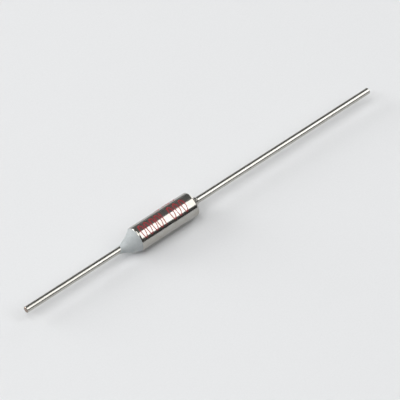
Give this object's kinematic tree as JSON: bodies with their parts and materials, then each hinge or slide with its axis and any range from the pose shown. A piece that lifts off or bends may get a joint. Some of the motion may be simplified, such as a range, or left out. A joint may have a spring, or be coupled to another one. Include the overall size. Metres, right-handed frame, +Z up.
{
  "type": "thermal fuse",
  "caption": "One-shot axial-lead thermal fuse: plated metal can with red ink marks, grey resin cone seal and straight wire leads, holding a meltable pellet, springs and a sliding contact",
  "frame": {"origin": "halfway between the leads' cut ends, below the fuse's axis, at the height of the can's underside", "axes": "+X along the fuse's axis from the isolated lead to the case lead, +Z up with the can lying on its side, +Y completes the right-handed set"},
  "size_m": [0.0666, 0.004, 0.004],
  "materials": {
    "case_plating": "polished",
    "lead_wire": "polished",
    "seal_resin": "matte",
    "bushing_ceramic": "matte",
    "contact_silver": "satin",
    "spring_steel": "satin",
    "disc_brass": "satin",
    "pellet_organic": "matte"
  },
  "bodies": {
    "root": {"case": "case_plating", "case_lead": "lead_wire", "thermal_pellet": "pellet_organic", "pellet_disc": "disc_brass", "barrel_spring": "spring_steel", "contact_disc": "disc_brass", "star_contact": "contact_silver", "trip_spring": "spring_steel", "ceramic_bushing": "bushing_ceramic", "isolated_lead": "lead_wire", "epoxy_seal": "seal_resin"}
  },
  "joints": []
}
